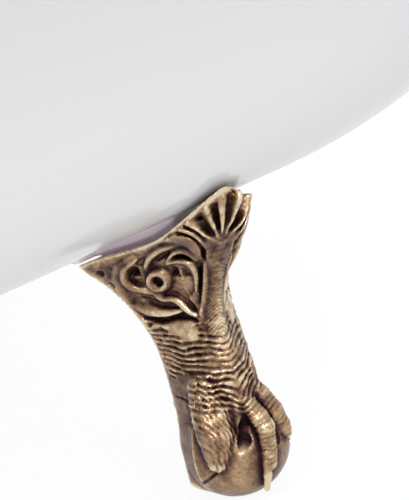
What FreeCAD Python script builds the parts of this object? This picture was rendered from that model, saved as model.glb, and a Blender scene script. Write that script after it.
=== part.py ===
import FreeCAD, Part
from FreeCAD import Vector, Placement, Rotation
from math import atan, cos, pi, radians, sin, sqrt, tan
import os

# Free-standing bath with a rolled rim on four claw-and-ball feet, with its drain, stopper, overflow
# and waste pipes. Millimetres and degrees. X runs along the bath with the sloped head end at +X and the
# drain end at -X, Y runs across it, Z is up, and the origin is on the floor under the middle of the rim.

# ---- Bath casting -------------------------------------------------------------------------------------
RIM_LENGTH = 1525.0       # over the rolled rim
RIM_WIDTH = 760.0
RIM_HEIGHT = 600.0        # floor to the top of the rim
BOTTOM_HEIGHT = 156.0     # floor to the flat underside of the bath
WALL = 8.0                # casting with its enamel
ROLL_RADIUS = 26.0        # rolled rim, over its outside
LIP_ANGLE = 38.0          # how far the roll turns under, below the horizontal
WALL_LEAN = 9.0           # sides, and every wall where it meets the rim
HEAD_LEAN = 41.0          # foot of the head wall, which steepens upwards
DRAIN_LEAN = 13.0         # foot of the drain wall
BOTTOM_RADIUS = 90.0      # side wall to underside
HEAD_RUN = 100.0          # reach of the curve from underside to head wall
DRAIN_RUN = 80.0
HEAD_ROUND = 512.5        # length of the round head end, from the straight sides to the outside of the rim
DRAIN_ROUND = 312.5       # length of the round drain end

# ---- Foot casting, in its own frame: origin on the floor under the ball, front at -Y ------------------
BALL_RADIUS = 27.0
BALL_HEIGHT = 25.0        # floor to the ball's centre, so that it stands on a flat
HEEL_BACK = 15.0          # back of the casting at the floor, behind the ball's centre
ANKLE_BACK = 11.0
WING_BACK = 21.0
ANKLE_WIDTH = 40.6
ANKLE_REACH = 24.0        # front ridge of the leg, in front of the ball's centre
FOOT_WALL = 6.0
RIDGE_WALL = 11.0         # behind the front ridge
HOLLOW_POWER = 1.25       # the hollow's front is blunter than the casting's
CREST_RISE = 25.5         # top of the crest above the underside of the bath
CREST_REACH = 75.0
CREST_WALL = 5.0          # thickness of the crest's top, which bears on the bath
CREST_GAP = 0.5           # crest to the bath's wall
WING_SPAN = 88.0          # over the tips of the two wings
WING_DROP = 23.0          # tip of a wing below the underside of the bath
WING_LEAN = 30.0          # crest in front of the ridge at the level of the wing tips
TOE_ANGLE = 45.0          # between the middle toe and each side toe
MIDDLE_TOE_RADIUS = 5.5
SIDE_TOE_RADIUS = 7.0
TOE_PROUD = 4.0           # toes in front of the ball
CLAW_TIP_RADIUS = 1.8
HEAD_FOOT_INSET = 45.0    # middle of a foot from the end of the straight sides
DRAIN_FOOT_INSET = 35.0

# ---- Where a foot meets the bath: a cast pad, a bridge in the foot, and a stud with washer and nut ----
PAD_DEPTH = WING_DROP     # the pad's face lies level with the wing tips
PAD_FRONT = 20.0          # front of the pad, in front of the ball's centre
PAD_FRONT_WIDTH = 14.0
PAD_NECK_WIDTH = 64.0     # between the wings' tips
PAD_WIDTH = 88.0          # behind the wings' tips
PAD_GAP = 2.0             # behind the wings
PAD_LENGTH = 12.0         # of the wide part
PAD_CORNER = 3.0
BRIDGE_THICKNESS = 8.0
STUD_REACH = 4.0          # stud in front of the ball's centre
STUD_RADIUS = 5.0
STUD_DEPTH = 14.0         # screwed into the pad
STUD_CLEARANCE = 0.05     # thread of the stud in the pad and in its nut
BRIDGE_CLEARANCE = 0.6    # stud in the bridge and in its washer
WASHER_RADIUS = 10.5
WASHER_THICKNESS = 2.0
NUT_FLATS = 17.0
NUT_HEIGHT = 8.0
STUD_SHOWS = 3.0          # thread below the nut

# ---- Drain in the bath's floor ------------------------------------------------------------------------
DRAIN_OUTSET = 5.0        # drain beyond the end of the straight sides
DRAIN_HOLE_RADIUS = 25.5
FLANGE_RADIUS = 35.0
FLANGE_THICKNESS = 3.0
FLANGE_SEAL = 1.5         # soft seal between flange and enamel
DRAIN_BODY_RADIUS = 23.5
DRAIN_BORE_RADIUS = 19.5
DRAIN_BODY_LENGTH = 34.0  # below the flange
CROSS_DEPTH = 14.0        # top of the cross bar below the flange's face
CROSS_THICKNESS = 5.0
CROSS_WIDTH = 4.0
CROSS_HUB_RADIUS = 6.0
GASKET_RADIUS = 34.0
GASKET_THICKNESS = 4.0
SHOE_RADIUS = 29.0
SHOE_FLANGE_RADIUS = 34.0
SHOE_FLANGE_THICKNESS = 4.0
SHOE_DEPTH = 48.0         # from the gasket to the shoe's closed bottom
SHOE_WALL = 3.0
SHOE_COLLAR = 12.0        # thick part of the arm, beyond the shoe
THREAD_CLEARANCE = 0.08   # between screwed pieces

# ---- Stopper that lifts and turns ---------------------------------------------------------------------
POST_RADIUS = 3.0
POST_RISE = 12.0          # above the cross bar's top
SLEEVE_RADIUS = 5.0
SLIDE_CLEARANCE = 0.06    # sleeve on post, and cap on sleeve
CAP_RADIUS = 24.0
CAP_THICKNESS = 4.0
CAP_BOSS_RADIUS = 8.0
SEAL_RADIUS = 22.0
SEAL_THICKNESS = 2.0
SEAL_GAP = 0.3            # seal to the flange's face when shut
KNOB_RADIUS = 7.0
KNOB_HEIGHT = 12.0
KNOB_NECK_RADIUS = 4.0

# ---- Overflow and waste pipes -------------------------------------------------------------------------
OVERFLOW_HEIGHT = 478.0   # floor to the middle of the overflow
OVERFLOW_HOLE_RADIUS = 24.0
SEAT_RADIUS = 37.0        # flats on both faces of the wall round the hole
SEAT_INSET = 2.0          # outer flat below the wall's outer face
INNER_SEAT_INSET = 0.4
PLATE_RADIUS = 35.0
PLATE_THICKNESS = 3.0
PLATE_HOLES = 8
PLATE_HOLE_RADIUS = 3.2
PLATE_HOLE_CIRCLE = 16.0
OVERFLOW_GASKET = 3.0
ELBOW_FLANGE_RADIUS = 32.0
ELBOW_FLANGE_THICKNESS = 3.0
ELBOW_OFFSET = 24.0       # flange face to the centre line of the pipes
ELBOW_DROP = 42.0         # overflow's middle to the elbow's lower end
ELBOW_RADIUS = 22.0
ELBOW_BEND = 26.0         # bend of its centre line
PIPE_RADIUS = 19.0
PIPE_WALL = 1.2
PIPE_CLEARANCE = 0.1      # pipe in a socket, nut or washer
SOCKET_DEPTH = 22.0
ELBOW_BAR = 6.0
SCREW_RADIUS = 2.5
SCREW_HEAD_RADIUS = 5.5
SCREW_HEAD_HEIGHT = 2.2
SCREW_SLOT = 1.2          # width of its slot
ARM_DROP = 32.0           # underside of the bath to the centre line of the shoe's arm
TEE_RADIUS = 22.0
TEE_TOP = 34.0            # tee above the arm's centre line
TEE_BOTTOM = 34.0
TEE_BRANCH = 40.0         # tee's branch, from the pipes' centre line
SLIP_NUT_FLATS = 50.0
SLIP_NUT_HEIGHT = 17.0
SLIP_NUT_LIP = 3.0
SLIP_WASHER = 4.0
OUTLET_RADIUS = 20.0      # free end of the tailpiece, which goes into the floor waste
OUTLET_LENGTH = 50.0
OUTLET_GAP = 2.0          # shoulder of the outlet to the nut above it

# ---- Values worked out from those above ---------------------------------------------------------------
HEAD_START = RIM_LENGTH / 2 - HEAD_ROUND                 # X where the straight sides end at the head
DRAIN_START = DRAIN_ROUND - RIM_LENGTH / 2
HEAD_FOOT_X = HEAD_START - HEAD_FOOT_INSET
DRAIN_FOOT_X = DRAIN_START + DRAIN_FOOT_INSET
DRAIN_X = DRAIN_START - DRAIN_OUTSET
ROLL_Z = RIM_HEIGHT - ROLL_RADIUS
SIDE_AXIS = RIM_WIDTH / 2 - ROLL_RADIUS                  # middle of the roll, from each plan centre
HEAD_AXIS = HEAD_ROUND - ROLL_RADIUS
DRAIN_AXIS = DRAIN_ROUND - ROLL_RADIUS
FLOOR_TOP = BOTTOM_HEIGHT + WALL
PAD_Z = BOTTOM_HEIGHT - PAD_DEPTH
CREST_Z = BOTTOM_HEIGHT + CREST_RISE
WING_TIP_Z = BOTTOM_HEIGHT - WING_DROP
ARM_Z = BOTTOM_HEIGHT - ARM_DROP
UP = Vector(0, 0, 1)


# ---- Small helpers ------------------------------------------------------------------------------------
def rod(radius, length, base, axis=UP):
    """A cylinder from base along axis."""
    return Part.makeCylinder(radius, length, base, axis)


def ring(outer, inner, length, base, axis=UP):
    """A tube from base along axis."""
    return rod(outer, length, base, axis).cut(rod(inner, length, base, axis))


def hexagon(flats, length, base, axis=UP):
    """A six-sided bar from base along axis."""
    corner = flats / sqrt(3)
    turn = Rotation(UP, axis)
    points = [base + turn.multVec(Vector(corner * cos(k * pi / 3), corner * sin(k * pi / 3), 0))
              for k in range(7)]
    return Part.Face(Part.makePolygon(points)).extrude(axis * length)


def spun(profile, base, axis=UP):
    """A closed outline of (radius, height) corners spun about an axis through base."""
    face = Part.Face(Part.makePolygon([Vector(r, 0, h) for r, h in profile + profile[:1]]))
    solid = face.revolve(Vector(0, 0, 0), UP, 360)
    solid.Placement = Placement(base, Rotation(UP, axis))
    return solid


def save(name, *solids):
    """Writes one node: a single solid, or several like ones."""
    for solid in solids:
        if not solid.isValid() or solid.Volume <= 0:
            raise ValueError(name + " is not a sound solid")
    shape = solids[0] if len(solids) == 1 else Part.makeCompound(solids)
    shape.exportStep("parts/" + name + ".step")
    print(name, len(shape.Solids), round(shape.Volume / 1000, 2), "cm3")


def one_solid(shape):
    """The single solid that a fuse or cut should give."""
    if len(shape.Solids) != 1:
        raise ValueError("expected one solid, found " + str(len(shape.Solids)))
    return shape.Solids[0]


# ---- The bath's skins: every level is two straight sides and two half ellipses ------------------------
def wall_levels(skin):
    """Heights of one skin's control points: skin is the depth from the outer face, from 0 to WALL."""
    turn = radians(90 - WALL_LEAN)
    reach = (BOTTOM_RADIUS - skin) * tan(turn / 2)
    base = BOTTOM_HEIGHT + skin
    roll = ROLL_RADIUS - WALL + skin
    return base, base + reach * cos(radians(WALL_LEAN)), ROLL_Z + roll * sin(radians(WALL_LEAN)), reach, roll


def wall_reach(skin, axis, foot_lean, run):
    """Radii of one skin's control points in one plan direction: floor edge, corner, knee, middle and top."""
    base, knee_z, top_z, side_run, roll = wall_levels(skin)
    top = axis - roll * cos(radians(WALL_LEAN))
    half = (top_z - knee_z) / 2
    middle = top - tan(radians(WALL_LEAN)) * half
    knee = middle - tan(radians(foot_lean)) * half
    corner = knee - tan(radians(foot_lean)) * (knee_z - base)
    return corner - (side_run if run is None else run - skin), corner, knee, middle, top


def skin_segments(skin):
    """The corner and the wall of one skin, as (heights, weights, side, head and drain radii)."""
    base, knee_z, top_z, _, _ = wall_levels(skin)
    side = wall_reach(skin, SIDE_AXIS, WALL_LEAN, None)
    head = wall_reach(skin, HEAD_AXIS, HEAD_LEAN, HEAD_RUN)
    drain = wall_reach(skin, DRAIN_AXIS, DRAIN_LEAN, DRAIN_RUN)
    bend = cos(radians(90 - WALL_LEAN) / 2)
    corner = ([base, base, knee_z], [1, bend, 1], side[:3], head[:3], drain[:3])
    wall = ([knee_z, (knee_z + top_z) / 2, top_z], [1, 1, 1], side[2:], head[2:], drain[2:])
    return [corner, wall]


def roll_segments(radius, start, end, count=3):
    """The rolled rim as arcs about its middle, which is the same all round the bath."""
    made = []
    half = radians(end - start) / count / 2
    for k in range(count):
        middle = radians(start) + half * (2 * k + 1)
        reach = [(radius, middle - half), (radius / cos(half), middle), (radius, middle + half)]
        heights = [ROLL_Z + r * sin(a) for r, a in reach]
        out = [r * cos(a) for r, a in reach]
        made.append((heights, [1, cos(half), 1]) + tuple([axis + x for x in out]
                                                         for axis in (SIDE_AXIS, HEAD_AXIS, DRAIN_AXIS)))
    return made


def reverse(segments):
    """The same skin, walked the other way."""
    return [tuple(list(values)[::-1] for values in s) for s in segments[::-1]]


HALF_ROUND = [(0, 1, 1), (1, 1, sqrt(0.5)), (1, 0, 1), (1, -1, sqrt(0.5)), (0, -1, 1)]   # ahead, across, weight


def round_surface(segment, start, sign, radii):
    """One segment of a skin round one end of the bath, as an exact rational surface."""
    heights, weights, side = segment[0], segment[1], segment[2]
    poles = [[Vector(start + sign * radii[i] * ahead, side[i] * across, heights[i])
              for ahead, across, _ in HALF_ROUND] for i in range(len(heights))]
    pole_weights = [[w * u for _, _, u in HALF_ROUND] for w in weights]
    degree = len(heights) - 1
    surface = Part.BSplineSurface()
    surface.buildFromPolesMultsKnots(poles, [degree + 1] * 2, [3, 2, 3], [0, 1], [0, 1, 2], False, False,
                                     degree, 2, pole_weights)
    return surface.toShape()


def straight_surface(segment, sign):
    """One segment of a skin along one straight side."""
    heights, weights, side = segment[0], segment[1], segment[2]
    poles = [[Vector(x, sign * side[i], heights[i]) for x in (DRAIN_START, HEAD_START)]
             for i in range(len(heights))]
    degree = len(heights) - 1
    surface = Part.BSplineSurface()
    surface.buildFromPolesMultsKnots(poles, [degree + 1] * 2, [2, 2], [0, 1], [0, 1], False, False,
                                     degree, 1, [[w, w] for w in weights])
    return surface.toShape()


def level_face(segment, end):
    """The flat face inside one end of a segment."""
    z, b, head, drain = segment[0][end], segment[2][end], segment[3][end], segment[4][end]
    edges = []
    for start, sign, reach in ((HEAD_START, 1, head), (DRAIN_START, -1, drain)):
        curve = Part.BSplineCurve()
        curve.buildFromPolesMultsKnots([Vector(start + sign * reach * a, b * c, z) for a, c, _ in HALF_ROUND],
                                       [3, 2, 3], [0, 1, 2], False, 2, [w for _, _, w in HALF_ROUND])
        edges.append(curve.toShape())
    for side in (b, -b):
        edges.append(Part.LineSegment(Vector(DRAIN_START, side, z), Vector(HEAD_START, side, z)).toShape())
    return Part.Face(Part.Wire(Part.__sortEdges__(edges)))


def closed_solid(segments):
    """The solid inside a chain of segments and the flat faces at its two ends."""
    faces = [level_face(segments[0], 0), level_face(segments[-1], -1)]
    for segment in segments:
        faces.append(round_surface(segment, HEAD_START, 1, segment[3]))
        faces.append(round_surface(segment, DRAIN_START, -1, segment[4]))
        faces += [straight_surface(segment, 1), straight_surface(segment, -1)]
    shell = Part.makeShell(faces)
    shell.sewShape()
    solid = Part.makeSolid(shell)
    if solid.Volume < 0:
        solid.reverse()
    return solid


def bare_casting():
    """Underside, walls and rolled rim of the bath, before its pads and holes."""
    outer_top, lip = 180 - WALL_LEAN, -LIP_ANGLE
    chain = skin_segments(0.0) + roll_segments(ROLL_RADIUS - WALL, outer_top, lip)
    over = roll_segments(ROLL_RADIUS, lip, outer_top)
    edge = tuple([chain[-1][k][-1], over[0][k][0]] for k in range(5))
    return closed_solid(chain + [edge] + over + reverse(skin_segments(WALL)))


def conic_point(values, heights, weights, z):
    """The value at height z on one control-point segment."""
    low, high = 0.0, 1.0
    for _ in range(50):
        t = (low + high) / 2
        blend = [(1 - t) ** 2 * weights[0], 2 * t * (1 - t) * weights[1], t * t * weights[2]]
        height = sum(b * h for b, h in zip(blend, heights)) / sum(blend)
        low, high = (t, high) if height < z else (low, t)
    return sum(b * v for b, v in zip(blend, values)) / sum(blend)


def skin_at(z, direction, skin=0.0):
    """Radius of a skin at height z: direction is 2 for the sides, 3 for the head, 4 for the drain end."""
    corner, wall = skin_segments(skin)
    segment = corner if z < corner[0][2] else wall
    return conic_point(segment[direction], segment[0], segment[1], z)


# ---- Foot casting -------------------------------------------------------------------------------------
# Level sections: share of the height of the wing tips, share of the way from the ankle's width to the wings',
# share of the way from the ankle's ridge to the wings', back edge, turn from a round front to a spread one, and
# the power by which the spread front falls back: under 1 leaves a narrow ridge, over 2 a blunt fan.
LEG_LEVELS = [(0.045, 0.13, -0.43, HEEL_BACK, 0.0, 1.0), (0.15, 0.11, -0.19, HEEL_BACK, 0.0, 1.0),
              (0.286, 0.05, -0.05, (HEEL_BACK + ANKLE_BACK) / 2, 0.0, 1.0), (0.414, 0.01, 0.0, ANKLE_BACK, 0.0, 1.0),
              (0.526, 0.0, 0.0, ANKLE_BACK, 0.05, 1.0), (0.617, 0.03, 0.02, ANKLE_BACK, 0.3, 1.0),
              (0.714, 0.13, 0.07, 0.7 * ANKLE_BACK + 0.3 * WING_BACK, 0.7, 0.95),
              (0.812, 0.33, 0.29, 0.4 * ANKLE_BACK + 0.6 * WING_BACK, 1.0, 0.9),
              (0.902, 0.62, 0.62, 0.1 * ANKLE_BACK + 0.9 * WING_BACK, 1.0, 0.9), (1.0, 1.0, 1.0, WING_BACK, 1.0, 1.0)]
WING_TIP_X = WING_SPAN / 2


def foot_levels():
    """Height, half width, back edge, front ridge, turn and power of each section, from floor to over the crest."""
    ankle, ridge = ANKLE_WIDTH / 2, CREST_REACH - WING_LEAN
    levels = [(share * WING_TIP_Z, ankle + spread * (WING_TIP_X - ankle), back,
               -ANKLE_REACH - lean * (ridge - ANKLE_REACH), turned, power)
              for share, spread, lean, back, turned, power in LEG_LEVELS]
    rise = CREST_Z - WING_TIP_Z
    for share, lean, power in ((0.25, 0.28, 1.25), (0.55, 0.6, 1.7), (1.1, 1.08, 2.3)):
        levels.append((WING_TIP_Z + share * rise, WING_TIP_X, WING_BACK, -ridge - lean * WING_LEAN, 1.0, power))
    return smoothed(levels)


def slope(levels, k, column):
    """How fast one value of the sections changes with height, about section k."""
    low, high = levels[max(k - 1, 0)], levels[min(k + 1, len(levels) - 1)]
    return (high[column] - low[column]) / (high[0] - low[0])


def smoothed(levels):
    """The same sections with one more between each two, on smooth curves through them all."""
    made = [levels[0]]
    for k in range(len(levels) - 1):
        a, b = levels[k], levels[k + 1]
        rise = b[0] - a[0]
        middle = [(a[c] + b[c]) / 2 + rise * (slope(levels, k, c) - slope(levels, k + 1, c)) / 8 for c in range(1, len(a))]
        made += [(a[0] + rise / 2,) + tuple(middle), b]
    return made


def section_depth(share, depth, turned, power):
    """How far the section's face lies behind its front ridge, at a share of its half width."""
    rounded = 1 - sqrt(max(0.0, 1 - share * share))
    return depth * ((1 - turned) * rounded + turned * share ** power)


def hollow_level(level):
    """The section of the foot's hollow at one level: a wall's thickness inside the casting, more at its ridge."""
    z, half_width, back, front, turned, power = level
    return z, half_width - FOOT_WALL, back, front + RIDGE_WALL, turned, max(power, HOLLOW_POWER)


def foot_section(level, past_back):
    """One level section of the foot, closed behind by a straight edge past its back."""
    z, half, back, front, turned, power = level
    points = []
    for k in range(-4, 5):
        share = sin(k * pi / 8)
        points.append(Vector(share * half, front + section_depth(abs(share), back - front, turned, power), z))
    face_curve = Part.BSplineCurve()
    face_curve.interpolate(points)
    rear = [points[-1], Vector(half, back + past_back, z), Vector(-half, back + past_back, z), points[0]]
    edges = [face_curve.toShape()]
    edges += [Part.LineSegment(a, b).toShape() for a, b in zip(rear, rear[1:]) if a.distanceToPoint(b) > 1e-6]
    return Part.Wire(edges)


# The wings' upper edge from the side: share of the way back from the crest, and share of the rise to it.
WING_EDGE = [(0.0, 1.0), (0.057, 0.9), (0.219, 0.672), (0.4375, 0.404), (0.677, 0.206), (0.833, 0.111), (1.0, 0.0)]


def wing_edge_prism():
    """Everything under the edge that runs from the crest back and down to the two wing tips."""
    length = CREST_REACH + WING_BACK
    edge = Part.BSplineCurve()
    edge.interpolate([Vector(-2 * WING_SPAN, back * length - CREST_REACH, WING_TIP_Z + rise * (CREST_Z - WING_TIP_Z))
                      for back, rise in WING_EDGE])
    first, last = edge.StartPoint, edge.EndPoint
    before, behind = Vector(0, -CREST_REACH, 0), Vector(0, CREST_REACH, 0)
    low = Vector(0, 0, -WING_DROP)
    corners = [last, last + behind, Vector(last.x, last.y + behind.y, 0) + low,
               Vector(first.x, first.y + before.y, 0) + low, first + before, first]
    edges = [edge.toShape()] + [Part.LineSegment(a, b).toShape() for a, b in zip(corners, corners[1:])]
    return Part.Face(Part.Wire(edges)).extrude(Vector(4 * WING_SPAN, 0, 0))


def toe(angle, radius, end):
    """One toe down the front of the ball to the height where its claw starts, and the claw."""
    turn = radians(angle)
    over = BALL_RADIUS + TOE_PROUD - radius
    path = [(over - 4.5, end + 5.2 * radius, radius - 0.5), (over - 1, end + 3 * radius, radius),
            (over, end + 1.4 * radius, radius + 0.3), (over - 1, end, radius - 0.7)]
    points = [(Vector(out * sin(turn), -out * cos(turn), z), r) for out, z, r in path]
    pieces = [Part.makeSphere(r, p) for p, r in points]
    for (a, ra), (b, rb) in zip(points, points[1:]):
        pieces.append(Part.makeCone(ra - 0.4, rb - 0.4, a.distanceToPoint(b), a, b - a))
    root_out, tip_out = over, BALL_RADIUS - TOE_PROUD - CLAW_TIP_RADIUS
    root = Vector(root_out * sin(turn), -root_out * cos(turn), end)
    tip = Vector(tip_out * sin(turn), -tip_out * cos(turn), CLAW_TIP_RADIUS + 3)
    pieces.append(Part.makeCone(radius - 1.5, CLAW_TIP_RADIUS, root.distanceToPoint(tip), root, tip - root))
    pieces.append(Part.makeSphere(CLAW_TIP_RADIUS, tip))
    return pieces


def foot_offset():
    """Middle of the bath to a ball's centre: the crest's top stands against the side wall."""
    return skin_at(CREST_Z, 2) + CREST_GAP - CREST_REACH + CREST_WALL


def foot_casting():
    """The whole foot: hollow leg and wings, ball, toes, and the bridge that bears on the bath's pad."""
    levels = foot_levels()
    hollow_levels = [hollow_level(level) for level in levels if level[0] > 2 * BALL_HEIGHT]
    outer = Part.makeLoft([foot_section(level, 0.0) for level in levels], True, True)
    cavity = Part.makeLoft([foot_section(level, 2 * HEEL_BACK) for level in hollow_levels], True, True)
    slab = Part.makeBox(2 * WING_SPAN, 4 * CREST_REACH, BRIDGE_THICKNESS,
                        Vector(-WING_SPAN, -2 * CREST_REACH, PAD_Z - BRIDGE_THICKNESS))
    trimmed = outer.cut(cavity.cut(slab)).common(wing_edge_prism())
    ball = Part.makeSphere(BALL_RADIUS, Vector(0, 0, BALL_HEIGHT))
    toes = toe(0, MIDDLE_TOE_RADIUS, BALL_HEIGHT - 1)
    for angle in (-TOE_ANGLE, TOE_ANGLE):
        toes += toe(angle, SIDE_TOE_RADIUS, BALL_HEIGHT + 2)
    whole = trimmed.multiFuse([ball] + toes)
    behind = Part.makeBox(2 * WING_SPAN, CREST_REACH, 3 * BALL_RADIUS, Vector(-WING_SPAN, HEEL_BACK, -BALL_RADIUS))
    below = Part.makeBox(2 * WING_SPAN, 4 * CREST_REACH, BALL_RADIUS, Vector(-WING_SPAN, -2 * CREST_REACH, -BALL_RADIUS))
    hole_base = Vector(0, -STUD_REACH, PAD_Z - 2 * BRIDGE_THICKNESS)
    hole = rod(STUD_RADIUS + BRIDGE_CLEARANCE, 3 * BRIDGE_THICKNESS, hole_base)
    return one_solid(whole.cut(behind).cut(below).cut(hole))


def foot_places():
    """Each foot's name and place: its crest stands against the side wall of the bath."""
    side = foot_offset()
    turned = Rotation(UP, 180)
    return [("foot_head_front", Placement(Vector(HEAD_FOOT_X, -side, 0), Rotation())),
            ("foot_head_back", Placement(Vector(HEAD_FOOT_X, side, 0), turned)),
            ("foot_drain_front", Placement(Vector(DRAIN_FOOT_X, -side, 0), Rotation())),
            ("foot_drain_back", Placement(Vector(DRAIN_FOOT_X, side, 0), turned))]


def placed(shape, place):
    """A copy of a shape from the foot's frame to its place on the bath."""
    copy = shape.copy()
    copy.Placement = place.multiply(copy.Placement)
    return copy


# ---- Pads and fasteners, in the foot's frame ----------------------------------------------------------
def pad_block():
    """The cast pad that the foot's bridge bolts up to, before it is trimmed to the bath's underside."""
    shoulder = WING_BACK + PAD_GAP
    half = [(PAD_FRONT_WIDTH / 2, -PAD_FRONT), (PAD_NECK_WIDTH / 2, shoulder), (PAD_WIDTH / 2, shoulder),
            (PAD_WIDTH / 2, shoulder + PAD_LENGTH)]
    corners = half + [(-x, y) for x, y in half[::-1]]
    outline = Part.makePolygon([Vector(x, y, PAD_Z) for x, y in corners + corners[:1]])
    block = Part.Face(outline).extrude(UP * (PAD_DEPTH + BOTTOM_RADIUS / 2))
    uprights = [e for e in block.Edges if abs(e.tangentAt(e.FirstParameter).z) > 0.99]
    return block.makeFillet(PAD_CORNER, uprights)


STUD_BASE = Vector(0, -STUD_REACH, 0)
NUT_TOP = PAD_Z - BRIDGE_THICKNESS - WASHER_THICKNESS


def stud():
    bottom = NUT_TOP - NUT_HEIGHT - STUD_SHOWS
    shank = rod(STUD_RADIUS, PAD_Z + STUD_DEPTH - bottom, STUD_BASE + UP * bottom)
    return shank.makeChamfer(0.8, [e for e in shank.Edges if e.Closed])


def stud_washer():
    return ring(WASHER_RADIUS, STUD_RADIUS + BRIDGE_CLEARANCE, WASHER_THICKNESS, STUD_BASE + UP * NUT_TOP)


def stud_nut():
    base = STUD_BASE + UP * (NUT_TOP - NUT_HEIGHT)
    body = hexagon(NUT_FLATS, NUT_HEIGHT, base)
    rounded = Part.makeSphere(NUT_FLATS * 0.66, base + UP * NUT_HEIGHT / 2)
    return one_solid(body.common(rounded).cut(rod(STUD_RADIUS + STUD_CLEARANCE, NUT_HEIGHT, base)))


# ---- Drain, seen from above at its own axis -----------------------------------------------------------
DRAIN_AXIS_POINT = Vector(DRAIN_X, 0, 0)
FLANGE_BASE = FLOOR_TOP + FLANGE_SEAL
FLANGE_TOP = FLANGE_BASE + FLANGE_THICKNESS
SHOE_TOP = BOTTOM_HEIGHT - GASKET_THICKNESS
CROSS_TOP = FLANGE_TOP - CROSS_DEPTH


def at_drain(z):
    return Vector(DRAIN_X, 0, z)


def drain_flange():
    """Flange with a dished edge, screwed body, and the cross bar that carries the stopper's post."""
    bore_edge = DRAIN_BORE_RADIUS + 2
    profile = [(DRAIN_BORE_RADIUS, FLANGE_TOP - 2), (bore_edge, FLANGE_TOP - 0.6), (FLANGE_RADIUS - 4, FLANGE_TOP),
               (FLANGE_RADIUS, FLANGE_BASE + 1), (FLANGE_RADIUS, FLANGE_BASE), (DRAIN_BODY_RADIUS, FLANGE_BASE),
               (DRAIN_BODY_RADIUS, FLANGE_BASE - DRAIN_BODY_LENGTH),
               (DRAIN_BORE_RADIUS, FLANGE_BASE - DRAIN_BODY_LENGTH)]
    body = spun(profile, DRAIN_AXIS_POINT)
    bars = [rod(CROSS_HUB_RADIUS, CROSS_THICKNESS, at_drain(CROSS_TOP - CROSS_THICKNESS))]
    span = 2 * DRAIN_BORE_RADIUS + 1
    for length, width in ((span, CROSS_WIDTH), (CROSS_WIDTH, span)):
        bars.append(Part.makeBox(length, width, CROSS_THICKNESS,
                                 at_drain(CROSS_TOP - CROSS_THICKNESS) - Vector(length / 2, width / 2, 0)))
    whole = body.multiFuse(bars)
    post_hole = rod(POST_RADIUS + THREAD_CLEARANCE, 3 * CROSS_THICKNESS, at_drain(CROSS_TOP - 2 * CROSS_THICKNESS))
    return one_solid(whole.cut(post_hole))


def drain_shoe():
    """Cast cup under the bath that the drain screws into, with the arm that carries the water to the tee."""
    bottom = SHOE_TOP - SHOE_DEPTH
    thread = DRAIN_BODY_RADIUS + THREAD_CLEARANCE
    cup = rod(SHOE_RADIUS, SHOE_DEPTH, at_drain(bottom))
    cup = cup.fuse(rod(SHOE_FLANGE_RADIUS, SHOE_FLANGE_THICKNESS, at_drain(SHOE_TOP - SHOE_FLANGE_THICKNESS)))
    arm = rod(PIPE_RADIUS, DRAIN_X - ARM_END, Vector(ARM_END, 0, ARM_Z), Vector(1, 0, 0))
    reach = SHOE_RADIUS + SHOE_COLLAR
    collar = rod(PIPE_RADIUS + SHOE_WALL, reach, Vector(DRAIN_X - reach, 0, ARM_Z), Vector(1, 0, 0))
    arm_bore = rod(PIPE_RADIUS - PIPE_WALL, DRAIN_X - ARM_END, Vector(ARM_END, 0, ARM_Z), Vector(1, 0, 0))
    well = rod(thread, SHOE_DEPTH - SHOE_WALL, at_drain(bottom + SHOE_WALL))
    return one_solid(cup.multiFuse([arm, collar]).cut(well).cut(arm_bore))


# ---- Stopper ------------------------------------------------------------------------------------------
SEAL_BASE = FLANGE_TOP + SEAL_GAP
CAP_BASE = SEAL_BASE + SEAL_THICKNESS
SLEEVE_BASE = CROSS_TOP + 0.3


def stopper_post():
    """Pin screwed through the cross bar's hub, with a collar that the sleeve rests on."""
    length = POST_RISE + CROSS_THICKNESS + 2
    return rod(POST_RADIUS, length, at_drain(CROSS_TOP + POST_RISE - length))


def stopper_sleeve():
    """Tube that rides up and down the post and carries the cap at its head."""
    head = CAP_BASE - 0.5
    tube = rod(SLEEVE_RADIUS, head - SLEEVE_BASE, at_drain(SLEEVE_BASE))
    bore = rod(POST_RADIUS + SLIDE_CLEARANCE, head - SLEEVE_BASE - 2.5, at_drain(SLEEVE_BASE))
    return tube.cut(bore)


def stopper_cap():
    """Domed cap with a boss that turns on the sleeve."""
    dome = spun([(0, CAP_BASE + CAP_THICKNESS), (KNOB_RADIUS + 3, CAP_BASE + CAP_THICKNESS - 0.4),
                 (CAP_RADIUS - 4, CAP_BASE + 2.2), (CAP_RADIUS, CAP_BASE + 0.8), (CAP_RADIUS, CAP_BASE), (0, CAP_BASE)],
                DRAIN_AXIS_POINT)
    boss = rod(CAP_BOSS_RADIUS, CAP_BASE - SEAL_BASE + 5, at_drain(SEAL_BASE - 5))
    socket = rod(SLEEVE_RADIUS + SLIDE_CLEARANCE, CAP_BASE + 0.2 - SEAL_BASE + 5, at_drain(SEAL_BASE - 5))
    return one_solid(dome.fuse(boss).cut(socket))


def stopper_seal():
    return ring(SEAL_RADIUS, CAP_BOSS_RADIUS + SLIDE_CLEARANCE, SEAL_THICKNESS, at_drain(SEAL_BASE))


def stopper_knob():
    """Turned knob on top of the cap."""
    base = CAP_BASE + CAP_THICKNESS
    profile = [(0, base), (KNOB_NECK_RADIUS + 1.5, base), (KNOB_NECK_RADIUS, base + 2), (KNOB_NECK_RADIUS, base + 5),
               (KNOB_RADIUS, base + 7.5), (KNOB_RADIUS, base + KNOB_HEIGHT - 2), (KNOB_RADIUS - 2.5, base + KNOB_HEIGHT),
               (0, base + KNOB_HEIGHT)]
    return spun(profile, DRAIN_AXIS_POINT)


# ---- Overflow and pipes -------------------------------------------------------------------------------
def wall_slope():
    """Lean of the drain end's wall at the overflow."""
    step = 5.0
    rise = skin_at(OVERFLOW_HEIGHT + step, 4) - skin_at(OVERFLOW_HEIGHT - step, 4)
    return atan(rise / (2 * step))


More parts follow.
